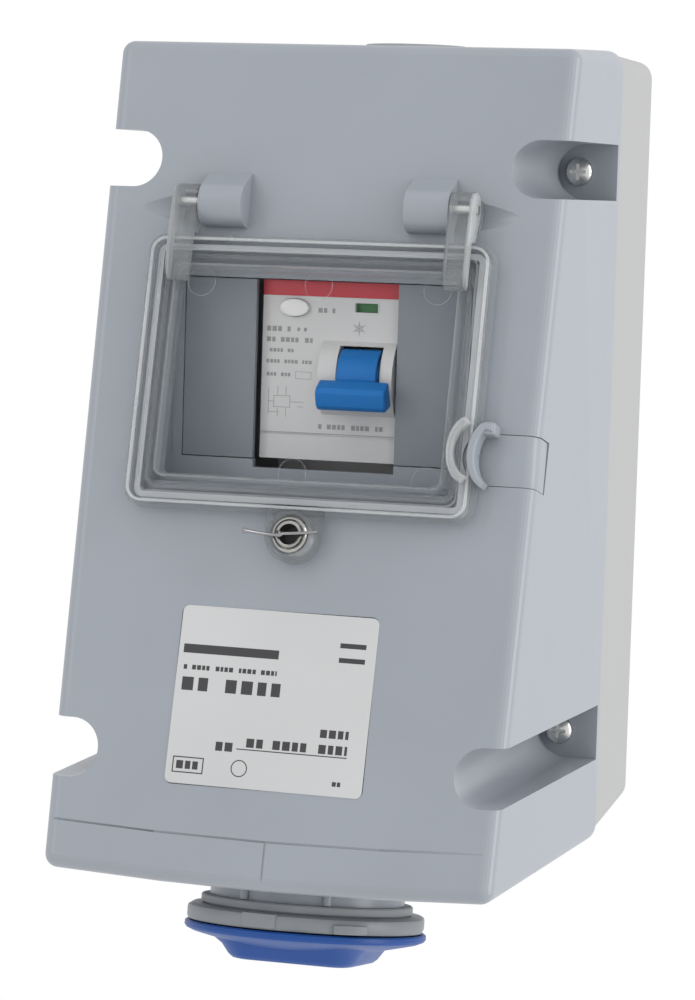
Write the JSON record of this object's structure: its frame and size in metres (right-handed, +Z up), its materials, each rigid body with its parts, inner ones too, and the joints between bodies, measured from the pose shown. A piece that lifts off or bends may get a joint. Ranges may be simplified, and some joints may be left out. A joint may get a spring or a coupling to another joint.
{
  "type": "socket outlet with residual current device",
  "caption": "Wall-mounted splashproof socket outlet with a built-in residual current switch under a clear hinged window and a sprung blue socket cap below.",
  "frame": {"origin": "centre of the four wall-fixing holes, on the flat back face of the rear housing", "axes": "+X to the right seen from the front, +Y into the wall, +Z up; the front faces -Y"},
  "size_m": [0.122, 0.1375, 0.2353],
  "materials": {
    "housing_grey": "fine satin moulding",
    "cover_grey": "fine satin moulding",
    "gasket": "soft foam strip",
    "gasket_grey": "soft moulded ring",
    "lid_gasket": "pale soft strip",
    "steel": "zinc plated",
    "nickel": "nickel plated and bright",
    "dark_steel": "blackened wire",
    "zinc": "zinc plated strip",
    "grommet": "grey elastomer",
    "blank": "plain grey moulding",
    "label": "smooth printed foil with blank bands",
    "clear": "clear polycarbonate, slightly smoked",
    "rcd_case": "light grey moulding",
    "rcd_front": "light grey moulding",
    "red_band": "printed dark red",
    "blue": "blue moulding",
    "button": "off-white moulding",
    "green": "green moulding",
    "copper": "bare copper alloy",
    "rocker": "brown phenolic",
    "core": "coated strip-wound ring",
    "relay": "black moulding",
    "black": "black moulding",
    "brass": "turned brass",
    "wire_brown": "insulation",
    "wire_blue": "insulation",
    "wire_green": "green and yellow insulation",
    "socket_grey": "satin moulding",
    "insert": "dark moulding",
    "lid_blue": "blue moulding"
  },
  "bodies": {
    "enclosure": {"rear_housing": "housing_grey", "front_cover": "cover_grey", "cover_gasket": "gasket", "cover_screws": "steel", "entry_grommet": "grommet", "module_blanks": "blank", "rating_plate": "label", "hinge_pins": "steel", "seal_stud": "nickel", "catch_pin": "steel", "din_rail": "zinc", "rail_screws": "steel", "rcd_case": "rcd_case", "rcd_front": "rcd_front", "rcd_band": "red_band", "toggle_pin": "steel", "test_spring": "steel", "test_blade": "copper", "fixed_contacts": "copper", "terminal_cages": "zinc", "terminal_screws": "steel", "sensing_core": "core", "core_winding": "copper", "trip_relay": "relay", "clip_spring": "steel", "earth_block": "brass", "earth_screws": "steel", "line_wire": "wire_brown", "neutral_wire": "wire_blue", "earth_wire": "wire_green", "socket_body": "socket_grey", "socket_gasket": "gasket_grey", "socket_nut": "black", "socket_insert": "insert", "power_sleeves": "brass", "earth_sleeve": "brass", "sleeve_screws": "steel", "socket_lid_pin": "steel", "socket_lid_spring": "steel"},
    "window": {"window_lid": "clear", "lid_gasket": "lid_gasket", "seal_clip": "dark_steel"},
    "catch": {"lid_catch": "cover_grey"},
    "lever": {"toggle": "blue"},
    "button": {"test_button": "button"},
    "flag": {"status_flag": "green"},
    "contacts": {"contact_rocker": "rocker"},
    "rail_latch": {"rail_clip": "black"},
    "cap": {"socket_lid": "lid_blue", "socket_lid_seal": "gasket"}
  },
  "joints": [
    {"name": "window_hinge", "type": "hinge", "parent": "enclosure", "child": "window", "pos_m": [0, -0.10107, 0.06145], "axis": [-1, 0, 0], "range_deg": [0, 110]},
    {"name": "catch_pivot", "type": "hinge", "parent": "enclosure", "child": "catch", "pos_m": [0.056, -0.10483, -0.00065], "axis": [0, 0.2392, 0.971], "range_deg": [0, 8.5], "stiffness_Nm_per_rad": 0.6, "springref_deg": -2.86},
    {"name": "lever_pivot", "type": "hinge", "parent": "enclosure", "child": "lever", "pos_m": [0.0089, -0.093, 0.0186], "axis": [1, 0, 0], "range_deg": [-48, 0]},
    {"name": "button_press", "type": "slide", "parent": "enclosure", "child": "button", "axis": [0, 1, 0], "range_m": [0, 0.0016], "stiffness_N_per_m": 400, "springref_m": -0.001},
    {"name": "flag_drop", "type": "slide", "parent": "enclosure", "child": "flag", "axis": [0, 0, -1], "range_m": [0, 0.0029]},
    {"name": "contact_close", "type": "hinge", "parent": "enclosure", "child": "contacts", "pos_m": [0, -0.072, 0.02], "axis": [1, 0, 0], "range_deg": [0, 13]},
    {"name": "latch_slide", "type": "slide", "parent": "enclosure", "child": "rail_latch", "axis": [0, 0, -1], "range_m": [0, 0.004], "stiffness_N_per_m": 900, "springref_m": -0.003},
    {"name": "cap_hinge", "type": "hinge", "parent": "enclosure", "child": "cap", "pos_m": [0, -0.06717, -0.12552], "axis": [1, 0, 0], "range_deg": [0, 95], "stiffness_Nm_per_rad": 0.06, "springref_deg": -34.38}
  ],
  "couplings": [
    {"joint": "flag_drop", "follows": "lever_pivot", "m_per_rad": -0.003462},
    {"joint": "contact_close", "follows": "lever_pivot", "ratio": -0.27083}
  ]
}
